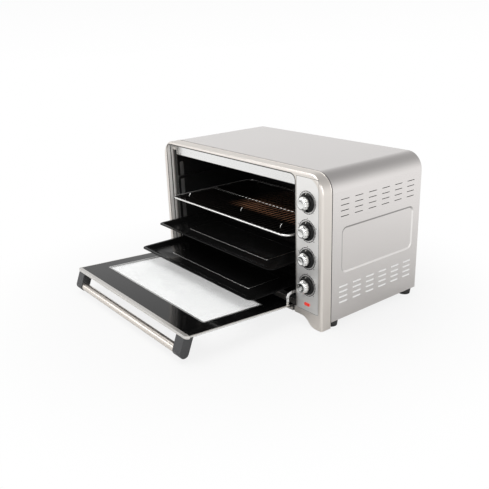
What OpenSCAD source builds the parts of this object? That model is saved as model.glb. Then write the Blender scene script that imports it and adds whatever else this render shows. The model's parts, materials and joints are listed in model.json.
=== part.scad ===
// Electric countertop oven with a drop-down glass door, a wire rack and two trays.
// Millimetres. X runs to the right, Y to the back, Z up from the table.
// Drawn with the door open and the rack and trays pulled out.

/* [Body] */
// Width over the casing
body_w = 600; // [580:1:660]
// Height above the table
body_h = 345; // [335:1:380]
// Depth from the front plane to the back panel
body_d = 318; // [310:1:360]
// Thickness of the steel sheet
sheet = 1.2; // [0.8:0.1:1.6]
// Radius of the casing's upper corners
corner_r = 41; // [38:1:50]
// Height of the casing's lower edge above the table
ground_gap = 15; // [13:1:18]

/* [Front bezel] */
// Depth of the bezel
bezel_d = 28; // [27:0.5:36]
// Wall of the bezel
bezel_wall = 2.5; // [1.5:0.1:3]
// Radius of the bezel's front edge
edge_r = 5; // [3:0.5:7]
// Lower edge of the apron between the legs
apron_z = 22; // [20:0.5:24]
// Lower end of the legs
leg_z = 1.5; // [1:0.1:3]
// Width of each leg where it is straight
leg_w = 18; // [12:1:26]
// Length of the curve from a leg to the apron
leg_curve = 44; // [38:1:50]

/* [Door opening] */
// Border left of the opening
side_border = 17; // [14:1:22]
// Border above the opening
top_border = 9; // [8:0.5:12]
// Border right of the control panel
panel_border = 11; // [8:0.5:14]
// Lower edge of the opening
opening_z = 37; // [36:0.5:39]
// Radius of the opening's upper corners
opening_r = 14; // [10:1:20]
// Wall round the opening
lip_wall = 2; // [1.2:0.1:2.4]
// Depth of the cavity flange behind the front plane
flange_y = 22; // [21.5:0.1:24]
// Lap of the flange behind the opening's wall
flange_lap = 4; // [3:0.5:5]

/* [Control panel] */
// Width of the panel
panel_w = 65; // [60:1:80]
// Distance of the panel's left edge from the opening
panel_side = 5; // [4:0.5:8]
// Distance of the panel's upper edge below the opening's
panel_head = 1; // [0.5:0.5:4]
// Thickness of the panel
panel_t = 1.5; // [1:0.1:2]
// Upper right corner radius of the panel
panel_r = 30; // [20:1:32]
// Gap round the panel
panel_fit = 0.2; // [0.1:0.05:0.4]
// Width of the ledge that carries the panel
panel_ledge = 5; // [3:0.5:7]
// Height of the lowest knob above the panel's lower edge
knob_low = 61; // [56:1:66]
// Distance of the highest knob below the panel's upper edge
knob_high = 52; // [45:1:60]
// Distance of the knobs right of the panel's middle
knob_shift = -0.5; // [-3:0.5:3]
// Diameter of a knob's skirt
skirt_dia = 42; // [40:1:54]
// Thickness of a knob's skirt
skirt_t = 5; // [4:0.5:7]
// Thickness of a skirt's straight rim
skirt_rim = 1.6; // [1:0.1:3]
// Width of a skirt's flat seat round the cap
skirt_seat = 2; // [1:0.5:4]
// Gap between skirt and panel
skirt_gap = 0.8; // [0.5:0.1:2]
// Diameter of a knob's cap at its foot
cap_dia = 29; // [26:1:34]
// Length of a knob's cap
cap_len = 14; // [13:0.5:18]
// Length of the straight foot of a cap
cap_foot = 8; // [5:0.5:10]
// Diameter of a cap at its face
cap_face_dia = 24; // [18:1:25]
// Diameter of a knob shaft
shaft_dia = 6; // [5:0.5:8]
// Length of a shaft in its cap
shaft_grip = 9; // [7:0.5:10]
// Radial clearance of shafts and pins
turn_fit = 0.05; // [0.02:0.01:0.1]
// Edge of a control unit
unit_w = 38; // [30:1:44]
// Depth of a control unit
unit_d = 36; // [25:1:50]
// Diameter of a unit's bush
bush_dia = 10; // [9:0.5:14]
// Height of the lamp above the panel's lower edge
lamp_z = 16; // [12:1:20]
// Width of the lamp lens
lamp_w = 15; // [12:1:24]
// Height of the lamp lens
lamp_h = 6.5; // [6:0.5:10]
// Projection of the lamp lens
lamp_out = 1.6; // [0.5:0.1:3]
// Depth of the lamp body
lamp_d = 20; // [15:1:30]
// Lap of the lamp body behind the panel
lamp_lap = 1.5; // [1:0.1:3]
// Gap at the ends of rods, shafts and screws
end_gap = 0.2; // [0.1:0.05:0.4]

/* [Cavity] */
// Distance of the cavity walls in from the opening's sides
wall_inset = 11.5; // [10.5:0.5:14]
// Distance of the cavity roof below the top
roof_drop = 38; // [30:1:45]
// Upper face of the cavity floor
floor_z = 48; // [46:0.5:50]
// Space between cavity and back panel
rear_gap = 18; // [12:1:24]
// Width of a shelf guide
guide_w = 12; // [10:0.5:13]
// Height of a shelf guide
guide_h = 10; // [6:0.5:14]
// Sheet of a shelf guide
guide_t = 1.5; // [1:0.1:2]
// Gap between a shelf and its guide
guide_gap = 0.3; // [0.2:0.05:0.4]
// Height of the empty upper guide
spare_z = 248; // [235:1:255]
// Diameter of a heating element
heater_dia = 7; // [6:0.5:8]
// Distance of the upper elements below the roof
heater_drop = 18; // [14:1:24]
// Height of the lower elements above the floor
heater_rise = 8; // [6:0.5:9]
// Distance of the front elements behind the flange
heater_front = 68; // [50:1:90]
// Distance between the elements of a pair
heater_pitch = 130; // [110:1:150]
// Diameter of a ceramic bush
ceramic_dia = 13; // [11:0.5:14]
// Length of a ceramic bush
ceramic_len = 6; // [4:0.5:6.5]
// Diameter of the thermostat feeler
feeler_dia = 4; // [3:0.5:6]
// Length of the thermostat feeler
feeler_len = 90; // [60:1:120]

/* [Shelves] */
// Gap between cavity wall and a shelf's side
shelf_gap = 7; // [5:0.5:8]
// Upper face of the lower tray's rim
lower_tray_z = 77.5; // [76:0.5:80]
// Upper face of the upper tray's rim
upper_tray_z = 131.5; // [125:0.5:140]
// Reach of the lower tray in front of the oven
lower_tray_out = 114; // [100:1:116]
// Reach of the upper tray in front of the oven
upper_tray_out = 57; // [40:1:70]
// Way of the lower tray into the oven
lower_tray_way = 219; // [215:1:225]
// Gap behind a shelf that is pushed in
shelf_stop = 1; // [0.5:0.1:3]
// Depth of a tray
tray_deep = 12; // [9:0.5:13]
// Width of a tray's rim
tray_rim = 9; // [7:0.5:10]
// Thickness of a tray's rim
rim_t = 2; // [1.5:0.1:2.5]
// Sheet of a tray
tray_sheet = 1.2; // [0.8:0.1:1.6]
// Corner radius of a tray's rim
tray_r = 16; // [13:1:24]
// Slope of a tray's sides
tray_slope = 9; // [5:0.5:14]
// Slope of a tray's front
tray_front_slope = 16; // [15:0.5:22]
// Margin round the raised panel in a tray's floor
tray_panel_gap = 55; // [40:1:70]
// Height of the raised panel in a tray's floor
tray_panel_h = 1; // [0.5:0.1:2]
// Middle height of the rack's frame
rack_z = 196; // [185:1:205]
// Reach of the rack in front of the oven
rack_out = 9; // [5:0.5:12]
// Way of the rack into the oven
rack_way = 31; // [30:1:36]
// Diameter of the rack's frame wire
frame_dia = 5; // [4:0.5:6]
// Diameter of the rack's cross bar
cross_dia = 4.5; // [3:0.5:5]
// Diameter of the rack's thin bars
bar_dia = 2.4; // [2:0.1:3.2]
// Number of thin bars
bar_count = 32; // [20:1:40]
// Corner radius of the rack
rack_r = 20; // [14:1:28]
// Gap between thin bars and frame
bar_gap = 0.1; // [0.05:0.05:0.3]

/* [Door] */
// Gap beside the door
door_gap = 2; // [1.5:0.1:3]
// Gap above the closed door
door_top_gap = 12; // [4:0.5:14]
// Hinge axis behind the front plane
hinge_y = 6; // [5.5:0.1:6.5]
// Hinge axis above the table
hinge_z = 27.5; // [26.5:0.1:28]
// Opening angle of the door
door_open = 86.5; // [80:0.5:90]
// Distance of the door's inner face from the hinge axis
door_face = 14; // [13.5:0.1:14.2]
// Distance of the door's lower end from the hinge axis
door_foot = 12; // [11.5:0.1:14]
// Corner radius at the door's free end
door_r = 8; // [6:0.5:9]
// Thickness of the door glass
glass_t = 2.5; // [2:0.5:4]
// Thickness of the black door frame
frame_t = 2.5; // [2.5:0.5:4]
// Wall of the channels at the door's ends
channel_t = 0.6; // [0.5:0.1:1]
// Width of the channel at the door's hinge end
channel_w = 11; // [10:0.5:12]
// Width of the bright trim at the door's free end
trim_w = 9; // [7:0.5:14]
// Border left and right of the window
window_side = 36; // [25:1:50]
// Border at the window's hinge end
window_foot = 56; // [50:1:80]
// Border at the window's free end
window_head = 65.5; // [55:0.5:90]
// Corner radius of the window
window_r = 6; // [5.5:0.5:12]
// Width of the window's trim
window_trim_w = 4; // [2:0.5:5]
// Height of the window's trim over the frame
window_trim_out = 0.2; // [0.1:0.1:0.5]
// Gap round the window's inner pane
pane_gap = 0.2; // [0.1:0.05:0.4]

/* [Hinges] */
// Thickness of a hinge arm
arm_t = 4; // [3:0.5:4.5]
// Distance of a hinge arm from the opening's side
arm_inset = 4.5; // [4:0.1:5]
// Width of a hinge arm's band
arm_band = 7; // [5:0.5:8]
// Reach of a hinge arm along the door
arm_reach = 30; // [28:0.5:32]
// Height of a hinge arm over the hinge axis
arm_rise = 45; // [40:0.5:46]
// Bend radius of a hinge arm
arm_r = 15; // [10:0.5:18]
// Length of a hinge arm past the hinge axis
arm_past = 4; // [2:0.5:5]
// Gap beside a hinge arm in its slot
arm_gap = 0.8; // [0.5:0.1:1]
// Top of the slots for the hinge arms
arm_slot_z = 80; // [78:0.5:85]
// Radius of a hinge knuckle
knuckle_r = 5.5; // [4.5:0.5:6]
// Diameter of a hinge pin
pin_dia = 4; // [3:0.5:4.5]
// Thickness of a hinge bracket
bracket_t = 2; // [1.5:0.1:2.5]
// Length of a hinge bracket's foot
bracket_foot = 10; // [8:0.5:12]
// Diameter of a hinge pin's head
pin_head_dia = 5.6; // [5.2:0.1:5.8]
// Thickness of a hinge pin's head
pin_head_t = 1; // [0.6:0.1:1.2]

/* [Handle] */
// Diameter of the handle tube
tube_dia = 19; // [16:0.5:20]
// Wall of the handle tube
tube_wall = 1.2; // [0.8:0.1:2]
// Seat of the tube in its end brackets
tube_seat = 4; // [3:0.5:8]
// Distance of the tube's middle under the door
tube_drop = 33.5; // [30:0.5:36]
// Width of a handle bracket
handle_w = 28; // [20:1:32]
// Wall of a handle bracket round the tube's end
handle_wall = 1.5; // [1:0.1:2.5]
// Outward lean of a handle bracket, in degrees
handle_lean = 18; // [8:1:24]
// Distance of a handle bracket from the door's side
handle_inset = 8; // [2:0.5:12]
// Diameter of a handle screw
screw_dia = 4; // [3:0.5:5]
// Diameter of a handle screw's head
screw_head_dia = 8; // [7:0.5:9]
// Thickness of a handle screw's head
screw_head_t = 1.8; // [1:0.1:2.2]
// Gap between a handle screw's head and the door's trim
screw_trim_gap = 1; // [0.5:0.5:2]
// Length of a handle screw in its bracket
screw_grip = 14; // [10:1:15]

/* [Casing details] */
// Columns of vent slots in a group
vent_cols = 6; // [4:1:6]
// Rows of vent slots in a group
vent_rows = 4; // [2:1:4]
// Length of a vent slot
vent_len = 25; // [15:1:30]
// Height of a vent slot
vent_h = 1.6; // [1.2:0.1:4]
// Pitch of the columns
vent_pitch_y = 43; // [36:0.5:44]
// Pitch of the rows
vent_pitch_z = 12.2; // [8:0.1:13]
// Distance of the first column behind the front plane
vent_first_y = 66; // [55:1:70]
// Distance of the highest row below the top
vent_top_drop = 58; // [56:1:66]
// Height of the lowest row
vent_low_z = 55; // [40:1:58]
// Depth of the pressed panel in a side
press_depth = 1.5; // [0.8:0.1:2.5]
// Front margin of the pressed panel
press_front = 58; // [45:1:70]
// Rear margin of the pressed panel
press_rear = 22; // [15:1:35]
// Lower edge of the pressed panel
press_z = 121; // [112:1:130]
// Upper edge of the pressed panel, below the top
press_top_drop = 119; // [110:1:130]
// Corner radius of the pressed panel
press_r = 15; // [8:1:25]
// Radius of a foot at the table
foot_r = 14; // [8:0.5:15]
// Radius of a foot at the base
foot_top_r = 16; // [12:0.5:16]
// Distance of the feet from the casing's sides
foot_side = 17; // [17:1:40]
// Distance of the front feet behind the front plane
foot_front = 46; // [45:1:80]
// Distance of the rear feet from the back
foot_rear = 18; // [17:1:40]
// Diameter of the cord inlet's bore
inlet_bore = 8; // [6:0.5:10]
// Wall of the inlet bush
inlet_wall = 2.5; // [1.5:0.1:4]
// Lip of the inlet bush
inlet_lip = 3; // [2:0.5:5]
// Height of the cord inlet
inlet_z = 60; // [50:1:80]
// Length of the terminal block
terminal_l = 45; // [30:1:60]
// Width of the terminal block
terminal_w = 22; // [15:1:30]
// Height of the terminal block
terminal_h = 20; // [12:1:30]
// Diameter of a back panel screw
back_screw_dia = 3; // [2.5:0.5:4]
// Diameter of a back panel screw's head
back_head_dia = 7; // [5.5:0.5:8]
// Height of a back panel screw's head
back_head_t = 1.6; // [1:0.1:2.5]
// Length of a back panel screw
back_screw_len = 8; // [6:0.5:10]
// Margin of the back panel screws
back_margin = 22; // [16:1:30]

/* [Hidden] */
$fn = 48;
cut = 1;
thin = 0.01;
half_w = body_w / 2;
knob_count = 4;

// Door opening, seen from the front
open_x0 = side_border - half_w;
open_x1 = half_w - panel_border - panel_w - panel_side;
open_z1 = body_h - top_border;
open_w = open_x1 - open_x0;
open_h = open_z1 - opening_z;
open_mid = (open_x0 + open_x1) / 2;

// Cavity
cavity_x0 = open_x0 + wall_inset;
cavity_x1 = open_x1 - wall_inset;
cavity_w = cavity_x1 - cavity_x0;
cavity_z1 = body_h - roof_drop;
cavity_y0 = flange_y + sheet;
cavity_y1 = body_d - rear_gap;
cavity_d = cavity_y1 - cavity_y0;

// Shelves
shelf_x0 = cavity_x0 + shelf_gap;
shelf_x1 = cavity_x1 - shelf_gap;
shelf_w = shelf_x1 - shelf_x0;
tray_d = cavity_y1 - shelf_stop - lower_tray_way + lower_tray_out;
upper_tray_way = cavity_y1 - shelf_stop - tray_d + upper_tray_out;
rack_d = cavity_y1 - shelf_stop - rack_way + rack_out;
guide_tops = [
    lower_tray_z - rim_t - guide_gap,
    upper_tray_z - rim_t - guide_gap,
    rack_z - frame_dia / 2 - guide_gap,
    spare_z
];

// Door, in its closed position, measured from the hinge axis
door_x0 = open_x0 + door_gap;
door_x1 = open_x1 - door_gap;
door_w = door_x1 - door_x0;
door_head = open_z1 - door_top_gap - hinge_z;
door_back = door_face;
door_mid = door_back - frame_t;
door_front = door_mid - glass_t;
sheet_foot = door_foot + channel_t;
sheet_head = door_head - channel_t;
window_z0 = door_foot + window_foot;
window_z1 = door_head - window_head;
arm_x1 = open_x1 - arm_inset;
arm_x0 = arm_x1 - arm_t;
handle_x1 = door_x1 - handle_inset;
handle_x0 = handle_x1 - handle_w;
handle_top = door_front - channel_t;
handle_r = tube_dia / 2 + handle_wall;
handle_half = handle_r / cos(handle_lean);
tube_y = handle_top - tube_drop;
tube_z = door_head - handle_half + tube_drop * tan(handle_lean);
screw_z = door_head - trim_w - screw_trim_gap - screw_head_dia / 2;

// Control panel
panel_x0 = open_x1 + panel_side;
panel_h = open_h - panel_head;
panel_cx = panel_x0 + panel_w / 2 + knob_shift;
knob_z0 = opening_z + knob_low;
knob_z1 = opening_z + panel_h - knob_high;
lamp_cz = opening_z + lamp_z;
unit_y0 = panel_t;

// The origin lies under the middle of the oven's length with the door open
reach_front = tube_z * sin(door_open) - tube_y * cos(door_open) + handle_r - hinge_y;
reach_back = body_d + max(back_head_t, inlet_lip);
front_y = (reach_front - reach_back) / 2;

// Height of a knob, counted from the highest one
function knob_z(n) = knob_z1 - (n - 1) * (knob_z1 - knob_z0) / (knob_count - 1);

// Puts what is measured from the front plane into the oven's frame
module from_front() {
    translate([0, front_y, 0]) children();
}

// Puts what is measured from the hinge axis on the open door
module on_door() {
    translate([0, front_y + hinge_y, hinge_z]) rotate([door_open, 0, 0]) children();
}

// A block between two corners
module block(low, high) {
    translate(low) cube(high - low);
}

// Extrudes an outline in X and Z from y0 to y1
module along_y(y0, y1) {
    translate([0, y1, 0]) rotate([90, 0, 0]) linear_extrude(y1 - y0) children();
}

// Extrudes an outline in Y and Z from x0 to x1
module along_x(x0, x1) {
    translate([x0, 0, 0]) rotate([90, 0, 90]) linear_extrude(x1 - x0) children();
}

// A rectangle with round corners, from its lower left corner
module rounded(w, h, r) {
    translate([r, 0]) square([w - 2 * r, h]);
    translate([0, r]) square([w, h - 2 * r]);
    for (x = [r, w - r], y = [r, h - r]) translate([x, y]) circle(r);
}

// A slot with round ends, from its lower left corner
module slot(l, h) {
    r = h / 2;
    translate([r, 0]) square([l - h, h]);
    for (x = [r, l - r]) translate([x, r]) circle(r);
}

// A quarter disc in the first quadrant
module quarter(r) {
    intersection() {
        circle(r);
        square(r);
    }
}

// A rectangle with round upper corners, from its lower left corner
module round_top(w, h, r) {
    square([w, h - r]);
    translate([r, 0]) square([w - 2 * r, h]);
    translate([w - r, h - r]) quarter(r);
    translate([r, h - r]) mirror([1, 0]) quarter(r);
}

// The casing's outline: straight sides and round upper corners
module arch(half, z0, z1, r) {
    translate([-half, z0]) square([2 * half, z1 - r - z0]);
    translate([r - half, z0]) square([2 * (half - r), z1 - z0]);
    for (side = [-1, 1]) translate([side * (half - r), z1 - r]) circle(r);
}

// A cylinder along X between two places
module rod_x(x0, x1, r) {
    translate([x0, 0, 0]) rotate([0, 90, 0]) cylinder(r = r, h = x1 - x0);
}

// A cylinder along Y between two places
module rod_y(y0, y1, r) {
    translate([0, y1, 0]) rotate([90, 0, 0]) cylinder(r = r, h = y1 - y0);
}

// Repeats its children mirrored about the middle of the door
module both_ends() {
    children();
    translate([2 * open_mid, 0, 0]) mirror([1, 0, 0]) children();
}

// All vent slots of one side, in Y and Z
module vent_slots() {
    z_top = body_h - vent_top_drop;
    z_low = vent_low_z + (vent_rows - 1) * vent_pitch_z;
    for (c = [0 : vent_cols - 1], r = [0 : vent_rows - 1], z = [z_top, z_low])
        translate([vent_first_y + c * vent_pitch_y - vent_len / 2, z - r * vent_pitch_z - vent_h / 2])
            slot(vent_len, vent_h);
}

// Outline of the pressed panel in a side, grown by a margin
module press_outline(grow) {
    w = body_d - press_front - press_rear;
    h = body_h - press_top_drop - press_z;
    translate([press_front - grow, press_z - grow])
        rounded(w + 2 * grow, h + 2 * grow, press_r + grow);
}

module casing() {
    color("#c9c5c0") from_front() {
        difference() {
            union() {
                along_y(bezel_d, body_d) difference() {
                    arch(half_w, ground_gap, body_h, corner_r);
                    arch(half_w - sheet, ground_gap - cut, body_h - sheet, corner_r - sheet);
                }
                for (side = [0, 1]) mirror([side, 0, 0])
                    along_x(half_w - press_depth - sheet, half_w - sheet / 2) press_outline(sheet);
            }
            for (side = [0, 1]) mirror([side, 0, 0])
                along_x(half_w - press_depth, half_w + cut) press_outline(0);
            along_x(-half_w - cut, half_w + cut) vent_slots();
        }
    }
}

// Block with a round front edge on both sides and the top, inset by a wall
module pillow(inset, z0, y1) {
    half = half_w - inset;
    z1 = body_h - inset;
    corner = corner_r - inset;
    r = edge_r - inset;
    y_edge = inset + r;
    along_y(y_edge, y1) arch(half, z0, z1, corner);
    along_y(inset, y_edge) arch(half - r, z0, z1 - r, corner - r);
    along_x(corner - half, half - corner)
        translate([y_edge, z1 - r]) mirror([1, 0]) quarter(r);
    for (side = [0, 1]) mirror([side, 0, 0]) {
        translate([half - r, y_edge, z0]) linear_extrude(z1 - corner - z0)
            mirror([0, 1]) quarter(r);
        translate([half - corner, y_edge, z1 - corner]) rotate([90, 0, 0])
            rotate_extrude(angle = 90) translate([corner - r, 0]) quarter(r);
    }
}

// What is open under the apron: a flat stretch and a curve to each leg
module under_apron() {
    rise = apron_z - leg_z;
    r = (leg_curve * leg_curve + rise * rise) / (4 * rise);
    x1 = half_w - leg_w;
    x0 = x1 - leg_curve;
    z_mid = leg_z + rise / 2;
    z_low = leg_z - cut;
    translate([-x0, z_low]) square([2 * x0, apron_z - z_low]);
    for (side = [0, 1]) mirror([side, 0]) {
        difference() {
            translate([x0, z_low]) square([leg_curve, z_mid - z_low]);
            translate([x1, leg_z + r]) circle(r);
        }
        intersection() {
            translate([x0, apron_z - r]) circle(r);
            translate([x0, z_mid]) square([leg_curve, rise / 2]);
        }
    }
}

// Outline of the door opening, grown by a margin
module opening_outline(grow) {
    translate([open_x0 - grow, opening_z - grow])
        round_top(open_w + 2 * grow, open_h + 2 * grow, opening_r + grow);
}

// Outline of the control panel, grown by a margin, with one round corner
module panel_outline(grow) {
    w = panel_w + 2 * grow;
    h = panel_h + 2 * grow;
    r = panel_r + grow;
    translate([panel_x0 - grow, opening_z - grow]) {
        square([w - r, h]);
        square([w, h - r]);
        translate([w - r, h - r]) quarter(r);
    }
}

// Slots that let the hinge arms and knuckles through, from y0 to y1
module arm_slots(y0, y1, z0, z1) {
    both_ends() block([arm_x0 - arm_gap, y0, z0], [arm_x1 + arm_gap, y1, z1]);
}

module front_bezel() {
    pocket_z = apron_z + bezel_wall;
    notch_z = hinge_z - knuckle_r - arm_gap;
    color("#d8d2ca") from_front() difference() {
        union() {
            difference() {
                pillow(0, leg_z, bezel_d);
                along_y(-cut, bezel_d + cut) under_apron();
                pillow(bezel_wall, pocket_z, bezel_d + cut);
            }
            intersection() {
                pillow(0, leg_z, bezel_d);
                along_y(0, flange_y) opening_outline(lip_wall);
            }
        }
        along_y(-cut, bezel_d + cut) opening_outline(0);
        along_y(-cut, panel_t) panel_outline(panel_fit);
        along_y(panel_t - cut, bezel_wall + cut) panel_outline(-panel_ledge);
        arm_slots(-cut, flange_y + cut, notch_z, opening_z + cut);
    }
}

module control_panel() {
    color("#cfcfd0") from_front() along_y(0, panel_t) difference() {
        panel_outline(0);
        for (n = [1 : knob_count]) translate([panel_cx, knob_z(n)]) circle(bush_dia / 2 + panel_fit);
        translate([panel_cx - lamp_w / 2 - panel_fit, lamp_cz - lamp_h / 2 - panel_fit])
            rounded(lamp_w + 2 * panel_fit, lamp_h + 2 * panel_fit, panel_t);
    }
}

module base_pan() {
    x1 = half_w - sheet;
    color("#9a9a98") from_front()
        block([-x1, bezel_d, ground_gap], [x1, body_d - sheet, ground_gap + sheet]);
}

// Places of the back panel's screws
function back_screw_places() = [
    for (x = [back_margin - half_w, 0, half_w - back_margin],
         z = [ground_gap + back_margin, body_h - corner_r])
    [x, z]
];

// Middle of the control compartment, right of the cavity
function side_bay_x() = (cavity_x1 + sheet + half_w) / 2;

module back_panel() {
    color("#a9a8a5") from_front() along_y(body_d - sheet, body_d) difference() {
        arch(half_w - sheet, ground_gap, body_h - sheet, corner_r - sheet);
        for (p = back_screw_places()) translate(p) circle(back_screw_dia / 2 + turn_fit);
        translate([side_bay_x(), inlet_z]) circle(inlet_bore / 2 + inlet_wall + turn_fit);
    }
}

module front_flange() {
    inset = bezel_wall + panel_fit;
    color("#d9d9d6") from_front() difference() {
        along_y(flange_y, cavity_y0) difference() {
            intersection() {
                opening_outline(flange_lap);
                arch(half_w - inset, ground_gap, body_h - inset, corner_r - inset);
            }
            translate([cavity_x0, floor_z]) square([cavity_w, cavity_z1 - floor_z]);
        }
        arm_slots(flange_y - cut, cavity_y0 + cut, ground_gap, arm_slot_z);
    }
}

module cavity_left_wall() {
    color("#1c1c1c") from_front()
        block([cavity_x0 - sheet, cavity_y0, floor_z], [cavity_x0, cavity_y1, cavity_z1]);
}

module cavity_right_wall() {
    color("#1c1c1c") from_front()
        block([cavity_x1, cavity_y0, floor_z], [cavity_x1 + sheet, cavity_y1, cavity_z1]);
}

// A flat sheet over the cavity's whole plan, from a height up
module cavity_sheet(z) {
    from_front()
        block([cavity_x0 - sheet, cavity_y0, z], [cavity_x1 + sheet, cavity_y1, z + sheet]);
}

module cavity_roof() {
    color("#202020") cavity_sheet(cavity_z1);
}

module cavity_floor() {
    color("#202020") cavity_sheet(floor_z - sheet);
}

module cavity_back_wall() {
    color("#1a1a1a") from_front() block(
        [cavity_x0 - sheet, cavity_y1, floor_z - sheet],
        [cavity_x1 + sheet, cavity_y1 + sheet, cavity_z1 + sheet]
    );
}

// Angle strips on the left wall, one for each shelf level
module guide_strips() {
    from_front() for (z = guide_tops) {
        block([cavity_x0, cavity_y0, z - guide_t], [cavity_x0 + guide_w, cavity_y1, z]);
        block([cavity_x0, cavity_y0, z - guide_h], [cavity_x0 + guide_t, cavity_y1, z - guide_t]);
    }
}

module left_guides() {
    color("#2a2a2a") guide_strips();
}

module right_guides() {
    color("#2a2a2a") translate([2 * open_mid, 0, 0]) mirror([1, 0, 0]) guide_strips();
}

// Two straight elements between the cavity walls
module heater_pair(z) {
    from_front() for (n = [0, 1])
        translate([0, cavity_y0 + heater_front + n * heater_pitch, z])
            rod_x(cavity_x0 + end_gap, cavity_x1 - end_gap, heater_dia / 2);
}

heater_z1 = cavity_z1 - heater_drop;
heater_z0 = floor_z + heater_rise;

module upper_heaters() {
    color("#5b4038") heater_pair(heater_z1);
}

module lower_heaters() {
    color("#4a4440") heater_pair(heater_z0);
}

// A ceramic ring on the cavity wall round each end of each element
module heater_bushes() {
    color("#e6e0d4") from_front() both_ends()
        for (z = [heater_z0, heater_z1], n = [0, 1])
            translate([0, cavity_y0 + heater_front + n * heater_pitch, z]) difference() {
                rod_x(cavity_x0, cavity_x0 + ceramic_len, ceramic_dia / 2);
                rod_x(cavity_x0 - cut, cavity_x0 + ceramic_len + cut, heater_dia / 2 + turn_fit);
            }
}

module feeler() {
    y = cavity_y0 + heater_front + heater_pitch / 2;
    color("#b87a4a") from_front() translate([0, y, heater_z1])
        rod_x(cavity_x1 - feeler_len, cavity_x1, feeler_dia / 2);
}

// A switch or thermostat on the panel's back, with its bush through the panel
module control_unit(n) {
    from_front() translate([panel_cx, 0, knob_z(n)]) difference() {
        union() {
            block([-unit_w / 2, unit_y0, -unit_w / 2], [unit_w / 2, unit_y0 + unit_d, unit_w / 2]);
            rod_y(0, unit_y0 + cut, bush_dia / 2);
        }
        rod_y(-cut, unit_y0 + unit_d / 2, shaft_dia / 2 + turn_fit);
    }
}

module function_switch() {
    color("#3c3c40") control_unit(1);
}

module upper_thermostat() {
    color("#b9b4a6") control_unit(2);
}

module lower_thermostat() {
    color("#b9b4a6") control_unit(3);
}

module timer() {
    color("#8d8f92") control_unit(4);
}

skirt_y = -skirt_gap - skirt_t;

module knob_shaft(n) {
    color("#d0d0d0") from_front() translate([panel_cx, 0, knob_z(n)])
        rod_y(skirt_y - shaft_grip, unit_y0 + unit_d / 2 - end_gap, shaft_dia / 2);
}

// Black ring with a sloping rim
module knob_skirt(n) {
    color("#151515") from_front() translate([panel_cx, 0, knob_z(n)]) difference() {
        union() {
            rod_y(-skirt_gap - skirt_rim, -skirt_gap, skirt_dia / 2);
            translate([0, -skirt_gap - skirt_rim, 0]) rotate([90, 0, 0])
                cylinder(r1 = skirt_dia / 2, r2 = cap_dia / 2 + skirt_seat, h = skirt_t - skirt_rim);
        }
        rod_y(skirt_y - cut, cut, shaft_dia / 2 + turn_fit);
    }
}

// Bright round cap with a sloping shoulder
module knob_cap(n) {
    r = cap_dia / 2;
    color("#e0e0e0") from_front() translate([panel_cx, skirt_y, knob_z(n)]) difference() {
        union() {
            rod_y(-cap_foot, 0, r);
            translate([0, -cap_foot, 0]) rotate([90, 0, 0])
                cylinder(r1 = r, r2 = cap_face_dia / 2, h = cap_len - cap_foot);
        }
        rod_y(-shaft_grip - end_gap, cut, shaft_dia / 2 + turn_fit);
    }
}

module lamp_lens() {
    color("#d8261c") from_front() along_y(-lamp_out, panel_t)
        translate([panel_cx - lamp_w / 2, lamp_cz - lamp_h / 2]) rounded(lamp_w, lamp_h, panel_t);
}

module lamp_body() {
    color("#e8e4dc") from_front() block(
        [panel_cx - lamp_w / 2 - lamp_lap, panel_t, lamp_cz - lamp_h / 2 - lamp_lap],
        [panel_cx + lamp_w / 2 + lamp_lap, panel_t + lamp_d, lamp_cz + lamp_h / 2 + lamp_lap]
    );
}

bracket_x0 = arm_x1 + arm_gap;
bracket_x1 = bracket_x0 + bracket_t;

// Angle pieces behind the apron that carry the hinge pins
module hinge_brackets() {
    z0 = apron_z + bezel_wall;
    z1 = opening_z - lip_wall;
    y1 = hinge_y + knuckle_r;
    color("#8f8f8d") from_front() both_ends() difference() {
        union() {
            block([bracket_x0, bezel_wall, z0], [bracket_x1, y1, z1]);
            block([bracket_x1, hinge_y + pin_head_dia / 2 + end_gap, z0],
                  [bracket_x1 + bracket_foot, y1 + bracket_t, z1]);
        }
        translate([0, hinge_y, hinge_z]) rod_x(bracket_x0 - cut, bracket_x1 + cut, pin_dia / 2 + turn_fit);
    }
}

module hinge_pins() {
    color("#b5b5b5") from_front() both_ends() translate([0, hinge_y, hinge_z]) {
        rod_x(arm_x0 - arm_gap / 2, bracket_x1, pin_dia / 2);
        rod_x(bracket_x1, bracket_x1 + pin_head_t, pin_head_dia / 2);
    }
}

module inlet_bush() {
    r = inlet_bore / 2 + inlet_wall;
    color("#1d1d1d") from_front() translate([side_bay_x(), 0, inlet_z]) difference() {
        union() {
            rod_y(body_d - 2 * sheet, body_d, r);
            rod_y(body_d, body_d + inlet_lip, r + inlet_lip);
        }
        rod_y(body_d - 2 * sheet - cut, body_d + inlet_lip + cut, inlet_bore / 2);
    }
}

module terminal_block() {
    x = side_bay_x();
    z0 = ground_gap + sheet;
    y1 = cavity_y1;
    color("#ece9e0") from_front()
        block([x - terminal_w / 2, y1 - terminal_l, z0], [x + terminal_w / 2, y1, z0 + terminal_h]);
}

module back_screws() {
    color("#d0cfca") from_front() for (p = back_screw_places()) translate([p[0], 0, p[1]]) {
        rod_y(body_d - back_screw_len, body_d, back_screw_dia / 2);
        rod_y(body_d, body_d + back_head_t, back_head_dia / 2);
    }
}

module feet() {
    color("#161616") from_front()
        for (x = [foot_side - half_w, half_w - foot_side], y = [foot_front, body_d - foot_rear])
            translate([x, y, 0]) cylinder(r1 = foot_r, r2 = foot_top_r, h = ground_gap);
}

// Outline of the door from one height to another, inset, with its free corners round
module door_outline(inset, z0, z1) {
    translate([door_x0 + inset, z0]) round_top(door_w - 2 * inset, z1 - z0, door_r - inset);
}

// Holes for the handle screws, one at each end of the door
module screw_holes(y0, y1, r) {
    both_ends() translate([(handle_x0 + handle_x1) / 2, 0, screw_z]) rod_y(y0, y1, r);
}

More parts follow.
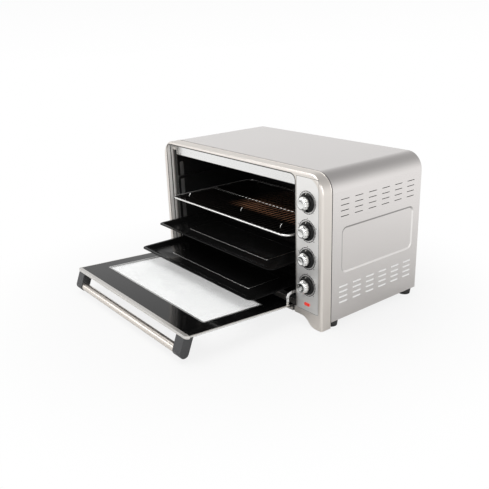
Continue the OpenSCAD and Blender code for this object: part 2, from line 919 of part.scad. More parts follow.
module door_glass() {
    color("#20242480") on_door() difference() {
        along_y(door_front, door_mid) door_outline(channel_t, sheet_foot, sheet_head);
        screw_holes(door_front - cut, door_mid + cut, screw_dia / 2 + turn_fit);
    }
}

// Outline of the window in the door frame, shrunk by a margin
module window_outline(shrink) {
    w = door_w - 2 * window_side - 2 * shrink;
    h = window_z1 - window_z0 - 2 * shrink;
    translate([door_x0 + window_side + shrink, window_z0 + shrink])
        rounded(w, h, window_r - shrink);
}

module door_frame() {
    color("#0d0d0d") on_door() difference() {
        along_y(door_mid, door_back) difference() {
            door_outline(channel_t, sheet_foot, sheet_head);
            window_outline(0);
        }
        screw_holes(door_mid - cut, door_back + cut, screw_dia / 2 + turn_fit);
        screw_holes(door_back - screw_head_t - end_gap, door_back + cut, screw_head_dia / 2 + end_gap);
    }
}

module window_trim() {
    color("#c4c4c2") on_door() along_y(door_mid, door_back + window_trim_out) difference() {
        window_outline(0);
        window_outline(window_trim_w);
    }
}

// Inner pane that fills the window, level with the frame
module window_pane() {
    color("#e8ecec80") on_door() along_y(door_mid, door_back) window_outline(window_trim_w + pane_gap);
}

// Bright channel round the free end of the glass and the frame
module edge_trim() {
    z0 = door_head - trim_w;
    color("#d6d4cf") on_door() difference() {
        along_y(door_front - channel_t, door_back + channel_t) door_outline(0, z0, door_head);
        along_y(door_front, door_back) door_outline(channel_t, z0 - cut, sheet_head);
    }
}

// Black channel at the hinge end, with a knuckle round each hinge pin
module bottom_rail() {
    z1 = door_foot + channel_w;
    color("#101010") on_door() {
        difference() {
            block([door_x0, door_front - channel_t, door_foot], [door_x1, door_back + channel_t, z1]);
            block([door_x0 + channel_t, door_front, sheet_foot], [door_x1 - channel_t, door_back, z1 + cut]);
        }
        both_ends() along_x(arm_x0, arm_x1) difference() {
            union() {
                circle(knuckle_r);
                polygon([
                    [-knuckle_r, 0],
                    [door_front - channel_t, door_foot],
                    [door_back, door_foot],
                    [knuckle_r, 0]
                ]);
            }
            circle(pin_dia / 2 + turn_fit);
        }
    }
}

// Outline of a bent arm from the door's face up and over the hinge axis
module arm_shape(inset, past) {
    x0 = -arm_past - past;
    x1 = arm_reach - inset;
    y0 = door_back - past;
    y1 = arm_rise - inset;
    r = arm_r - inset;
    translate([x0, y0]) square([x1 - r - x0, y1 - y0]);
    translate([x0, y0]) square([x1 - x0, y1 - r - y0]);
    translate([x1 - r, y1 - r]) circle(r);
}

// Bright bent arm on the door's inner face
module hinge_arm() {
    on_door() along_x(arm_x0, arm_x1) mirror([1, 0]) rotate(90) difference() {
        arm_shape(0, 0);
        arm_shape(arm_band, cut);
    }
}

module hinge_arm_left() {
    color("#d2d2d2") translate([2 * open_mid, 0, 0]) mirror([1, 0, 0]) hinge_arm();
}

module hinge_arm_right() {
    color("#d2d2d2") hinge_arm();
}

// Leaning end piece of the handle under the door's free end, with a seat for the tube
module handle_bracket() {
    tube_at = [tube_y, tube_z];
    across = handle_r * [sin(handle_lean), cos(handle_lean)];
    on_door() difference() {
        along_x(handle_x0, handle_x1) union() {
            translate(tube_at) circle(handle_r);
            polygon([
                [handle_top, door_head - 2 * handle_half],
                [handle_top, door_head],
                tube_at + across,
                tube_at - across
            ]);
        }
        translate([0, tube_y, tube_z]) rod_x(handle_x0 - cut, handle_x0 + tube_seat, tube_dia / 2 + turn_fit);
        translate([(handle_x0 + handle_x1) / 2, 0, screw_z])
            rod_y(handle_top - screw_grip, handle_top + cut, screw_dia / 2 + turn_fit);
    }
}

module handle_bracket_left() {
    color("#3b3b3b") translate([2 * open_mid, 0, 0]) mirror([1, 0, 0]) handle_bracket();
}

module handle_bracket_right() {
    color("#3b3b3b") handle_bracket();
}

module handle_tube() {
    x1 = handle_x0 + tube_seat;
    x0 = 2 * open_mid - x1;
    color("#d9d3ca") on_door() translate([0, tube_y, tube_z]) difference() {
        rod_x(x0 + end_gap, x1 - end_gap, tube_dia / 2);
        rod_x(x0 - cut, x1 + cut, tube_dia / 2 - tube_wall);
    }
}

module handle_screws() {
    color("#1c1c1c") on_door() both_ends() translate([(handle_x0 + handle_x1) / 2, 0, screw_z]) {
        rod_y(handle_top - screw_grip + end_gap, door_back - screw_head_t, screw_dia / 2);
        rod_y(door_back - screw_head_t, door_back, screw_head_dia / 2);
    }
}

// Heavy wire round the rack's edge, with a cross bar under the thin bars
module rack_frame() {
    r = frame_dia / 2;
    x0 = shelf_x0 + r;
    x1 = shelf_x1 - r;
    y0 = r - rack_out;
    y1 = rack_d - rack_out - r;
    color("#d8d8d6") from_front() translate([0, 0, rack_z]) {
        for (y = [y0, y1]) translate([0, y, 0]) rod_x(x0 + rack_r, x1 - rack_r, r);
        for (x = [x0, x1]) translate([x, 0, 0]) rod_y(y0 + rack_r, y1 - rack_r, r);
        translate([0, (y0 + y1) / 2, 0]) rod_x(x0, x1, cross_dia / 2);
        translate([x0 + rack_r, y0 + rack_r, 0]) rack_corner(180, r);
        translate([x1 - rack_r, y0 + rack_r, 0]) rack_corner(270, r);
        translate([x1 - rack_r, y1 - rack_r, 0]) rack_corner(0, r);
        translate([x0 + rack_r, y1 - rack_r, 0]) rack_corner(90, r);
    }
}

module rack_corner(turn, r) {
    rotate(turn) rotate_extrude(angle = 90) translate([rack_r, 0]) circle(r);
}

module rack_bars() {
    r = bar_dia / 2;
    z = rack_z + frame_dia / 2 + bar_gap + r;
    pitch = (shelf_w - 2 * rack_r) / (bar_count - 1);
    y0 = -rack_out;
    color("#b9b5ae") from_front() for (n = [0 : bar_count - 1])
        translate([shelf_x0 + rack_r + n * pitch, 0, z]) rod_y(y0, y0 + rack_d, r);
}

// Slab of a tray's plan at some height, inset on the sides and at the front
module tray_slab(inset, front, r, z) {
    translate([shelf_x0 + inset, front, z]) linear_extrude(thin)
        rounded(shelf_w - 2 * inset, tray_d - front - inset, r, $fn = 32);
}

// Sloping basin of a tray under its rim, grown by a wall
module tray_basin(wall) {
    low = -tray_deep + (wall > 0 ? 0 : tray_sheet);
    inset = tray_rim - wall;
    r = tray_r - inset;
    hull() {
        tray_slab(inset, inset, r, wall > 0 ? -rim_t : cut);
        tray_slab(inset + tray_slope, inset + tray_front_slope, r, low);
    }
}

module tray() {
    panel_w_in = shelf_w - 2 * tray_rim - 2 * tray_slope - 2 * tray_panel_gap;
    panel_d_in = tray_d - 2 * tray_rim - tray_slope - tray_front_slope - tray_panel_gap;
    floor_top = -tray_deep + tray_sheet;
    difference() {
        union() {
            translate([shelf_x0, 0, -rim_t]) linear_extrude(rim_t) rounded(shelf_w, tray_d, tray_r, $fn = 32);
            tray_basin(tray_sheet);
        }
        tray_basin(0);
    }
    translate([
        shelf_x0 + tray_rim + tray_slope + tray_panel_gap,
        tray_rim + tray_front_slope + tray_panel_gap / 2,
        floor_top - tray_sheet / 2
    ]) cube([panel_w_in, panel_d_in, tray_panel_h + tray_sheet / 2]);
}

module upper_tray() {
    color("#111111") from_front() translate([0, -upper_tray_out, upper_tray_z]) tray();
}

module lower_tray() {
    color("#111111") from_front() translate([0, -lower_tray_out, lower_tray_z]) tray();
}

casing();
front_bezel();
control_panel();
base_pan();
back_panel();
front_flange();
cavity_left_wall();
cavity_right_wall();
cavity_roof();
cavity_floor();
cavity_back_wall();
left_guides();
right_guides();
upper_heaters();
lower_heaters();
heater_bushes();
feeler();
function_switch();
upper_thermostat();
lower_thermostat();
timer();
knob_shaft(1);  // knob_shaft_1
knob_shaft(2);  // knob_shaft_2
knob_shaft(3);  // knob_shaft_3
knob_shaft(4);  // knob_shaft_4
knob_skirt(1);  // knob_skirt_1
knob_skirt(2);  // knob_skirt_2
knob_skirt(3);  // knob_skirt_3
knob_skirt(4);  // knob_skirt_4
knob_cap(1);  // knob_cap_1
knob_cap(2);  // knob_cap_2
knob_cap(3);  // knob_cap_3
knob_cap(4);  // knob_cap_4
lamp_lens();
lamp_body();
hinge_brackets();
hinge_pins();
inlet_bush();
terminal_block();
back_screws();
feet();
door_glass();
door_frame();
window_trim();
window_pane();
edge_trim();
bottom_rail();
hinge_arm_left();
hinge_arm_right();
handle_bracket_left();
handle_bracket_right();
handle_tube();
handle_screws();
rack_frame();
rack_bars();
upper_tray();
lower_tray();
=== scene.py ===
# %% [markdown]
# # Dressing an electric countertop oven
# The solids of the oven come packed, each on the body it moves with. This lesson gives them
# their finishes, adds the pressed, printed and rounded details that plain solids lack, and
# sets the camera and the light. Everything is in metres: X to the right, Y to the back, Z up.

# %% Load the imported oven
import json
import math

import bmesh
import bpy
from mathutils import Matrix, Vector


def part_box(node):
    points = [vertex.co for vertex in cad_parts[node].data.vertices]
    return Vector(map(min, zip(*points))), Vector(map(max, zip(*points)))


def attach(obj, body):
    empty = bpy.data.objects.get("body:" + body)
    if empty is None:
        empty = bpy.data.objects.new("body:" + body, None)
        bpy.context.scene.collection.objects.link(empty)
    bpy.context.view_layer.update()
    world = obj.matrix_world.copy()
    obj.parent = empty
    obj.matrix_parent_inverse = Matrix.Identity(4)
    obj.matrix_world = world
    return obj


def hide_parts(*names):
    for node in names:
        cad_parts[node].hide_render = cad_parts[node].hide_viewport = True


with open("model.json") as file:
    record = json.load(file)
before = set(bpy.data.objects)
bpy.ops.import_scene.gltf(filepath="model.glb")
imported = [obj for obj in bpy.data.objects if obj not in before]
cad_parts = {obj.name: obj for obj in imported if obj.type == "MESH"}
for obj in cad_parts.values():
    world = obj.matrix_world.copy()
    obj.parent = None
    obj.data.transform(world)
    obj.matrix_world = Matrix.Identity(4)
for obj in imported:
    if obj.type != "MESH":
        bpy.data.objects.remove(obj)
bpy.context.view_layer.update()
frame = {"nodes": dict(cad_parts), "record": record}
MM = 0.001
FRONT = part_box("front_bezel")[0].y / MM
print("nodes", len(frame["nodes"]), "front plane at", round(FRONT, 2), "mm")

# %% [markdown]
# ## Camera
# The picture looks down on the oven from its front right. A camera can be aimed by a constraint
# or by its matrix. The matrix is used here, because it also holds the slight roll.

# %% Place the camera
IMAGE_PX = 489
FOCAL_PX = 629.65
SENSOR = 36.0
AZIMUTH, ELEVATION, ROLL = (math.radians(a) for a in (52.27, 19.75, -2.03))
DISTANCE = 1.83455
AIM = Vector((-0.20514, 0.19 + FRONT * MM, 0.0238))

camera = bpy.data.cameras.new("camera")
camera.sensor_width = SENSOR
camera.lens = FOCAL_PX / IMAGE_PX * SENSOR
back = Vector((
    math.sin(AZIMUTH) * math.cos(ELEVATION),
    -math.cos(AZIMUTH) * math.cos(ELEVATION),
    math.sin(ELEVATION),
))
level = Vector((0, 0, 1)).cross(back).normalized()
upright = back.cross(level)
right = level * math.cos(ROLL) + upright * math.sin(ROLL)
up = upright * math.cos(ROLL) - level * math.sin(ROLL)
place = Matrix((right, up, back)).transposed().to_4x4()
place.translation = AIM + back * DISTANCE
eye = bpy.data.objects.new("camera", camera)
eye.matrix_world = place
bpy.context.scene.collection.objects.link(eye)
bpy.context.scene.camera = eye
print("camera at", [round(v, 3) for v in place.translation], "lens", round(camera.lens, 2))

# %% [markdown]
# ## Shader arithmetic
# Masks and roughness are sums and products. Wiring each Math node by hand hides the formula, so
# a small class wraps a socket and lets Python's operators add the nodes.


# %% Wrap a socket
class Value:
    """A number that changes over a surface, held by one output socket."""

    def __init__(self, tree, socket):
        self.tree, self.socket = tree, socket

    def math(self, operation, *terms):
        node = self.tree.nodes.new("ShaderNodeMath")
        node.operation = operation
        for slot, term in zip(node.inputs, terms):
            connect(self.tree, slot, term)
        return Value(self.tree, node.outputs[0])

    def __add__(self, other):
        return self.math("ADD", self, other)

    def __sub__(self, other):
        return self.math("SUBTRACT", self, other)

    def __rsub__(self, other):
        return self.math("SUBTRACT", other, self)

    def __mul__(self, other):
        return self.math("MULTIPLY", self, other)

    __radd__, __rmul__ = __add__, __mul__


def connect(tree, slot, term):
    """Links a wrapped socket, or sets a plain number, colour or vector."""
    if isinstance(term, Value):
        tree.links.new(term.socket, slot)
    elif slot.type == "RGBA" and len(term) == 3:
        slot.default_value = (*term, 1)
    else:
        slot.default_value = term


# %% [markdown]
# ## Boards of nodes
# A material and the sky are both boards of nodes. Each kind of node could have a helper of its
# own, but one method on the board can make any node: it sets it up and then wires it.


# %% Build boards
class Board:
    """A node tree with one method for every kind of node."""

    def __init__(self, tree):
        self.tree = tree

    def node(self, kind, settings, sockets, output=0):
        made = self.tree.nodes.new("ShaderNode" + kind)
        for name, value in settings.items():
            setattr(made, name, value)
        for name, term in sockets.items():
            connect(self.tree, made.inputs[name], term)
        return Value(self.tree, made.outputs[output])

    def ramp(self, value, start, end, first, last):
        """A smooth blend from one number to another while a value goes from start to end."""
        return self.node("MapRange", {"interpolation_type": "SMOOTHSTEP"}, {
            "Value": value, "From Min": start, "From Max": end, "To Min": first, "To Max": last})

    def seen(self):
        """1 for what the camera, gloss or glass sees, and 0 for what only lights the oven."""
        looks = [self.node("LightPath", {}, {}, f"Is {ray} Ray")
                 for ray in ("Camera", "Glossy", "Transmission")]
        total = looks[0] + looks[1] + looks[2]
        return total.math("MINIMUM", total, 1.0)


# %% [markdown]
# ## Finishes
# A finish is a board with one Principled shader. What is the same all over is set on the
# shader's own sockets, and what changes over the surface is linked. Noise is laid on the object
# in metres, because the solids have no unwrapped faces to lay a picture on.


# %% Build finishes
class Finish(Board):
    """A material with one Principled shader."""

    def __init__(self, name, **fixed):
        self.material = bpy.data.materials.new(name)
        self.material.use_nodes = True
        super().__init__(self.material.node_tree)
        self.shader = self.tree.nodes["Principled BSDF"]
        self.set(**fixed)

    def set(self, **sockets):
        for name, term in sockets.items():
            connect(self.tree, self.shader.inputs[name.replace("_", " ")], term)

    def spot(self):
        return self.node("TexCoord", {}, {}, "Object")

    def along(self, axis):
        """How far a spot lies along X, Y or Z, in metres."""
        return self.node("SeparateXYZ", {}, {0: self.spot()}, axis)

    def noise(self, stretch, detail):
        """Noise on the object in metres, stretched along each axis."""
        where = self.node("Mapping", {}, {"Vector": self.spot(), "Scale": stretch})
        return self.node("TexNoise", {}, {"Vector": where, "Scale": 1.0, "Detail": detail})

    def mix(self, share, first, second):
        """A colour between two, by a share that changes over the surface."""
        return self.node("Mix", {"data_type": "RGBA"}, {0: share, 6: first, 7: second}, 2)

    def bump(self, height, strength, depth):
        self.set(Normal=self.node("Bump", {}, {
            "Height": height, "Strength": strength, "Distance": depth}))


FINISHES = {}

# %% [markdown]
# ### Brushed and satin metal
# Brushing leaves fine parallel scratches. A noise that is fine across the grain and very long
# along it gives them, and it moves the colour, the roughness and the bump together. A slow
# cloud over the sheet keeps large faces from looking printed.

# %% Metal finishes
STREAK_SHARE, STREAK_DETAIL = 0.6, 3.0
CLOUD_SHARE, CLOUD_DETAIL, CLOUD = 0.4, 1.0, (6.0, 6.0, 6.0)
SCRATCH_BUMP = 0.2
ALONG_X, ALONG_Y, EVEN = (9, 1400, 1400), (1400, 9, 1400), (700, 700, 700)


def shade(colour, factor):
    """A colour made darker or lighter, with white as the limit."""
    return tuple(min(1.0, c * factor) for c in colour)


def brushed(name, colour, rough, grain, depth, play=0.04, metal=1.0):
    """A metal with scratches along its grain. Play is how far its tone and gloss swing."""
    finish = Finish(name, Metallic=metal)
    streak = finish.noise(grain, STREAK_DETAIL)
    cloud = finish.noise(CLOUD, CLOUD_DETAIL)
    tone = streak * STREAK_SHARE + cloud * CLOUD_SHARE
    finish.set(Base_Color=finish.mix(tone, shade(colour, 1 - play), shade(colour, 1 + play)))
    finish.set(Roughness=streak * (2 * play) + (rough - play))
    finish.bump(streak, SCRATCH_BUMP, depth)
    FINISHES[name] = finish
    return finish


# Name, colour, roughness, grain, depth of the scratches, play and share of metal
brushed("brushed_steel", (0.77, 0.74, 0.725), 0.25, ALONG_Y, 0.00001, 0.03)
brushed("satin_bezel", (0.78, 0.735, 0.69), 0.36, EVEN, 0.000005, 0.02, 0.86)
brushed("panel_steel", (0.885, 0.875, 0.86), 0.36, ALONG_X, 0.000005, 0.015, 0.8)
brushed("plain_steel", (0.52, 0.52, 0.515), 0.42, EVEN, 0.00003)
brushed("bright_sheet", (0.82, 0.82, 0.81), 0.26, ALONG_X, 0.00003)
brushed("bright_trim", (0.76, 0.74, 0.71), 0.28, ALONG_X, 0.00001, 0.02)
brushed("handle_steel", (0.79, 0.735, 0.68), 0.30, (4, 90, 90), 0.000002, 0.01)
brushed("window_grey", (0.62, 0.62, 0.61), 0.40, EVEN, 0.00002)
brushed("rack_wire", (0.88, 0.875, 0.86), 0.16, EVEN, 0.00001, 0.04, 0.8)
brushed("chrome", (0.86, 0.86, 0.86), 0.10, EVEN, 0.00001)
brushed("copper", (0.62, 0.36, 0.22), 0.34, EVEN, 0.00003)
brushed("element_steel", (0.30, 0.17, 0.12), 0.45, EVEN, 0.00004)
print("metal finishes", len(FINISHES))

# %% [markdown]
# ### Chrome caps with painted shade at the foot
# The knobs' caps are bright towards the face. At the foot, beside the black skirt, shade is
# painted into the chrome. Two pieces would leave a hard seam between the tones, so one finish
# blends them by the distance from the panel.

# %% Paint shade on the caps' foot
CAP_FOOT = (-13, -8)
CAP_BRIGHT, CAP_SHADE = (0.84, 0.84, 0.83), (0.05, 0.05, 0.05)
shaded_cap = brushed("cap_chrome", (0.80, 0.80, 0.80), 0.12, EVEN, 0.00001)
# Painted shade: the caps' chrome turns dark towards the foot, beside the black skirt.
foot_shade = shaded_cap.ramp(shaded_cap.along("Y"), *((FRONT + y) * MM for y in CAP_FOOT), 0.0, 1.0)
shaded_cap.set(Base_Color=shaded_cap.mix(foot_shade, CAP_BRIGHT, CAP_SHADE))
print("caps turn dark from", CAP_FOOT[0], "to", CAP_FOOT[1], "mm")

# %% [markdown]
# ### Heater glow painted on the wire
# The rack's thin bars are near black. In a band above the heater right of the middle, a brown
# reflection of the heater's glow is painted on them.
# The band is a product of ramps: one across the rack, one at its front and one at its back.

# %% Paint the heater's glow on the rack's bars
GLOW_X, GLOW_FRONT, GLOW_BACK = (-110, -30), (48, 75), (105, 150)
GLOW_FADE = 0.2
BAR_DARK, GLOW_BROWN = (0.012, 0.010, 0.009), (0.66, 0.33, 0.19)
# Painted reflection: the brown band stands in for the heater's glow mirrored in the bars.
glow_painted = brushed("wire_heater_glow", (0.50, 0.36, 0.26), 0.30, EVEN, 0.00002, 0.04, 0.4)
inwards = glow_painted.along("Y")
heater_glow = glow_painted.ramp(glow_painted.along("X"), *(x * MM for x in GLOW_X), 0.0, 1.0)
heater_glow = heater_glow * glow_painted.ramp(inwards, *((FRONT + y) * MM for y in GLOW_FRONT), 0.0, 1.0)
heater_glow = heater_glow * glow_painted.ramp(inwards, *((FRONT + y) * MM for y in GLOW_BACK), 1.0, GLOW_FADE)
glow_painted.set(Base_Color=glow_painted.mix(heater_glow, BAR_DARK, GLOW_BROWN))
print("bars browned right of", GLOW_X[1], "mm")

# %% [markdown]
# ### Enamel, rubber and plastic
# Fired enamel is hard black gloss with a very shallow ripple. Rubber and plastic are duller and
# have a fine grain. The lamp's lens is tinted through, so it glows a little by itself.

# %% Smooth finishes
MOTTLE_DETAIL, MOTTLE_BUMP, GLOSS_SWING, COAT_ROUGH = 2.0, 0.3, 0.08, 0.05


def moulded(name, dark, light, rough, grain, depth, coat=0.0, **fixed):
    """A smooth finish with a fine mottle between two tones."""
    finish = Finish(name, **fixed)
    mottle = finish.noise((grain,) * 3, MOTTLE_DETAIL)
    finish.set(Base_Color=finish.mix(mottle, dark, light))
    finish.set(Roughness=mottle * GLOSS_SWING + (rough - GLOSS_SWING / 2))
    finish.set(Coat_Weight=coat, Coat_Roughness=COAT_ROUGH)
    finish.bump(mottle, MOTTLE_BUMP, depth)
    FINISHES[name] = finish
    return finish


# Name, darker and lighter tone, roughness, grain, depth of the ripple and clear coat
moulded("black_enamel", (0.006, 0.006, 0.006), (0.012, 0.012, 0.012), 0.30, 160, 0.0001)
moulded("tray_enamel", (0.003, 0.003, 0.003), (0.006, 0.006, 0.006), 0.16, 40, 0.000001, IOR=1.19)
moulded("door_black", (0.003, 0.003, 0.003), (0.005, 0.005, 0.005), 0.08, 60, 0.00001, IOR=1.42)
moulded("knob_black", (0.003, 0.003, 0.003), (0.006, 0.006, 0.006), 0.10, 300, 0.00001, IOR=1.30)
moulded("handle_grey", (0.040, 0.040, 0.042), (0.055, 0.055, 0.057), 0.42, 900, 0.00004)
moulded("black_rubber", (0.018, 0.018, 0.018), (0.030, 0.030, 0.030), 0.62, 900, 0.00006)
moulded("unit_plastic", (0.66, 0.64, 0.58), (0.76, 0.74, 0.68), 0.45, 500, 0.00003)
moulded("ceramic", (0.76, 0.73, 0.66), (0.86, 0.83, 0.77), 0.55, 400, 0.00005)
moulded("lip_grey", (0.84, 0.815, 0.785), (0.92, 0.895, 0.865), 0.40, 300, 0.00001)
moulded("print_dark", (0.008, 0.008, 0.009), (0.014, 0.014, 0.015), 0.55, 900, 0.00001)
lamp = moulded("lamp_red", (0.62, 0.012, 0.010), (0.85, 0.05, 0.02), 0.22, 500, 0.00003, 0.6)
lamp.set(Emission_Color=(0.9, 0.03, 0.02), Emission_Strength=0.2)
print("finishes", len(FINISHES))

# %% [markdown]
# ### Door glass
# Window glass shows what lies behind it and mirrors the sky at a low angle. A full glass shader
# is slow and leaves black patches when it is exported, so the pane is a clear film: its alpha
# grows where the eye skims the surface, and a faint haze of old grease lies on it.

# %% Glass finish
GLASS_IOR, HAZE = 1.5, (14.0, 14.0, 14.0)
GLANCE_SHARE, HAZE_SHARE, FILM_SHARE = 0.22, 0.04, 0.02
pane = Finish("door_glass", Roughness=0.03, IOR=GLASS_IOR)
haze = pane.noise(HAZE, MOTTLE_DETAIL)
pane.set(Base_Color=pane.mix(haze, (0.90, 0.92, 0.91), (0.96, 0.97, 0.97)))
glance = pane.node("Fresnel", {}, {"IOR": GLASS_IOR})
pane.set(Alpha=glance * GLANCE_SHARE + haze * HAZE_SHARE + FILM_SHARE)
FINISHES["door_glass"] = pane
print("finishes with the glass", len(FINISHES))

# %% [markdown]
# ## Dress the solids
# The record names a material slot for each solid, and the finishes carry the same names. Only
# the thin bars of the rack differ: they are near black with the heater's glow painted on them,
# while the frame wire is still bright.


# %% Give each solid its finish
def paint(piece, name):
    """Gives a piece one finish all over."""
    piece.data.materials.clear()
    piece.data.materials.append(FINISHES[name].material)


SLOTS = {part["node"]: part["material_slot"] for part in frame["record"]["subparts"]}
for name, solid in frame["nodes"].items():
    paint(solid, SLOTS[name])
paint(frame["nodes"]["rack_bars"], "wire_heater_glow")
print("painted", len(SLOTS), "solids")

# %% [markdown]
# ## Break the sharp edges
# No moulded or bent piece has a knife edge, and a thin round along an edge is what catches the
# light. A bevel modifier adds it without touching the solid's mesh. The faces come split, so a
# weld modifier joins them first.

# %% Round the edges of some solids
WELD_REACH, BEVEL_STEPS, BEVEL_ANGLE = 0.00001, 2, math.radians(40)
EDGE_MM = {
    "handle_bracket_left": 1.2, "handle_bracket_right": 1.2, "edge_trim": 0.3, "lamp_lens": 0.5,
    "hinge_arm_left": 0.6, "hinge_arm_right": 0.6, "feet": 0.8, "inlet_bush": 0.6,
}


def soften(node, width_mm):
    """A narrow round along the sharp edges of a solid."""
    solid = frame["nodes"][node]
    weld = solid.modifiers.new("weld", "WELD")
    weld.merge_threshold = WELD_REACH
    bevel = solid.modifiers.new("bevel", "BEVEL")
    bevel.width = width_mm * MM
    bevel.segments = BEVEL_STEPS
    bevel.limit_method = "ANGLE"
    bevel.angle_limit = BEVEL_ANGLE
    bevel.harden_normals = True


for name, width in EDGE_MM.items():
    soften(name, width)
print("softened", len(EDGE_MM), "solids")

# %% [markdown]
# ## Tools for new pieces
# Most added pieces are skins over a row of loops, such as a tray that is pressed step by step or
# a knob that is turned. Places are given in millimetres from the oven's front plane, because
# that is how such an oven is drawn.


# %% Places and sizes
def at(x, y, z):
    """A place in metres from one in millimetres, counted from the front plane."""
    return Vector((x, y + FRONT, z)) * MM


def span(node):
    """Lowest and highest corner of a solid in millimetres, counted from the front plane."""
    return [corner / MM - Vector((0, FRONT, 0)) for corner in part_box(node)]


print("the casing spans", [[round(v, 1) for v in corner] for corner in span("casing")], "mm")

# %% Skins and pieces
SHARP_ANGLE = math.radians(35)


def skin(shape, loops, ring=False):
    """Faces between loops of equal length. The end loops are filled, unless the row is a ring."""
    rows = [[shape.verts.new(point) for point in loop] for loop in loops]
    for low, high in zip(rows, rows[1:] + rows[:1] if ring else rows[1:]):
        for k in range(len(low)):
            shape.faces.new((low[k - 1], low[k], high[k], high[k - 1]))
    if not ring:
        shape.faces.new(rows[0])
        shape.faces.new(rows[-1])


def make(name, shape, finish, body):
    """Turns the skins into a piece that moves with a body."""
    bmesh.ops.recalc_face_normals(shape, faces=shape.faces)
    mesh = bpy.data.meshes.new(name)
    shape.to_mesh(mesh)
    shape.free()
    mesh.shade_smooth()
    mesh.set_sharp_from_angle(angle=SHARP_ANGLE)
    piece = bpy.data.objects.new(name, mesh)
    bpy.context.scene.collection.objects.link(piece)
    paint(piece, finish)
    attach(piece, body)
    print("made", name, len(mesh.polygons), "faces")
    return piece


# %% Round-cornered loops
CORNER_STEPS = 6
CORNERS = ((1, 1), (0, 1), (0, 0), (1, 0))


def rounded_loop(low, high, radius, place):
    """A round-cornered rectangle. The place function makes a point of two numbers."""
    loop = []
    for quarter, corner in enumerate(CORNERS):
        mid = [(low[n], high[n])[side] + (radius, -radius)[side] for n, side in enumerate(corner)]
        for k in range(CORNER_STEPS + 1):
            turn = math.radians(90 * (quarter + k / CORNER_STEPS))
            loop.append(place(mid[0] + radius * math.cos(turn), mid[1] + radius * math.sin(turn)))
    return loop


print("points in a round-cornered loop", len(CORNERS) * (CORNER_STEPS + 1))

# %% [markdown]
# ## Trays
# A tray is drawn from one sheet: a rolled rim, a basin with sloping walls and a shallow raised
# panel that stiffens its floor. A box with a bevel would have walls of even height only, so
# the tray is built as a row of round-cornered loops, from the underside over the rim to the
# panel. Each loop has an inset from the rim and a height below it.

# %% Loops of a tray
RIM_R, BASIN_R, PANEL_R = 16, 7, 4
BASIN_INSET, FRONT_EXTRA, WALL_RUN = 9, 7, 9
PANEL_SIDE, PANEL_FRONT, PANEL_BACK = 73, 52.5, 45.5


def tray_loop(corners, sides, front, rear, radius, z):
    """A loop inset from the tray's box, at a height from its rim."""
    low, high = corners
    return rounded_loop((low.x + sides, low.y + front), (high.x - sides, high.y - rear), radius,
                        lambda x, y: at(x, y, high.z + z))


def basin_loop(corners, inset, z):
    """A loop of the rim or the basin, whose front wall slopes more than the others."""
    slope = max(0, inset - BASIN_INSET) / WALL_RUN
    radius = max(RIM_R - inset, BASIN_R)
    return tray_loop(corners, inset, inset + FRONT_EXTRA * slope, inset, radius, z)


def panel_loop(corners, grow, z):
    """A loop along the edge of the raised panel."""
    return tray_loop(
        corners, PANEL_SIDE + grow, PANEL_FRONT + grow, PANEL_BACK + grow, PANEL_R, z)


print("the raised panel starts", PANEL_FRONT, "mm behind the tray's front")

# %% [markdown]
# The panel's edge shows as a thin bright line, a painted highlight along the raised edge. A mask
# in the enamel would blur when it is baked, so the line is a thin ring of its own.

# %% Press the trays
TRAY_STEPS = (
    (18, -12), (7.8, -2), (0.6, -2), (0, -1.6), (0, -0.8), (0.4, -0.2), (1.2, 0), (7.5, 0),
    (8.6, -0.35), (9.4, -1.2), (17, -9.6), (18, -10.5), (19.6, -10.8),
)
PANEL_STEPS = ((-1.2, -10.8), (0, -10.4), (0.8, -9.9), (2, -9.8))
# Painted highlight: a bright ring along the raised panel's edge.
EDGE_HIGHLIGHT = ((-0.5, -10.7), (-0.3, -10.1), (0.3, -9.75), (0.8, -9.8), (0.5, -10.6))
for name in ("upper_tray", "lower_tray"):
    corners = span(name)
    tray, highlight_ring = bmesh.new(), bmesh.new()
    loops = [basin_loop(corners, *step) for step in TRAY_STEPS]
    skin(tray, loops + [panel_loop(corners, *step) for step in PANEL_STEPS])
    skin(highlight_ring, [panel_loop(corners, *step) for step in EDGE_HIGHLIGHT], ring=True)
    piece = make(name + "_pressed", tray, "tray_enamel", name)
    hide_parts(name)
    make(name + "_worn_edge", highlight_ring, "bright_sheet", name)

# %% [markdown]
# ## Knobs
# Each knob has a black skirt with a sloping rim and a chrome cap that is fluted for the fingers.
# Both are turned parts, so a profile of radius and distance from the panel is carried round the
# shaft. The flutes are a wave on the radius, and the cap's third number is the wave's share.

# %% Loops round a shaft
TURN_SIDES, FLUTES, FLUTE_DEPTH = 96, 12, 0.075
KNOBS = (1, 2, 3, 4)


def knob_axis(number):
    """Where a knob's shaft stands on the panel, in millimetres."""
    low, high = span(f"knob_skirt_{number}")
    return (low.x + high.x) / 2, (low.z + high.z) / 2


def turned(axis, radius, out, wave=0.0):
    """One loop round a knob's shaft."""
    loop = []
    for k in range(TURN_SIDES):
        turn = 2 * math.pi * k / TURN_SIDES
        r = radius * (1 - FLUTE_DEPTH * wave * (0.5 + 0.5 * math.cos(FLUTES * turn)))
        loop.append(at(axis[0] + r * math.sin(turn), -out, axis[1] + r * math.cos(turn)))
    return loop


print("knob heights", [round(knob_axis(number)[1], 1) for number in KNOBS], "mm")

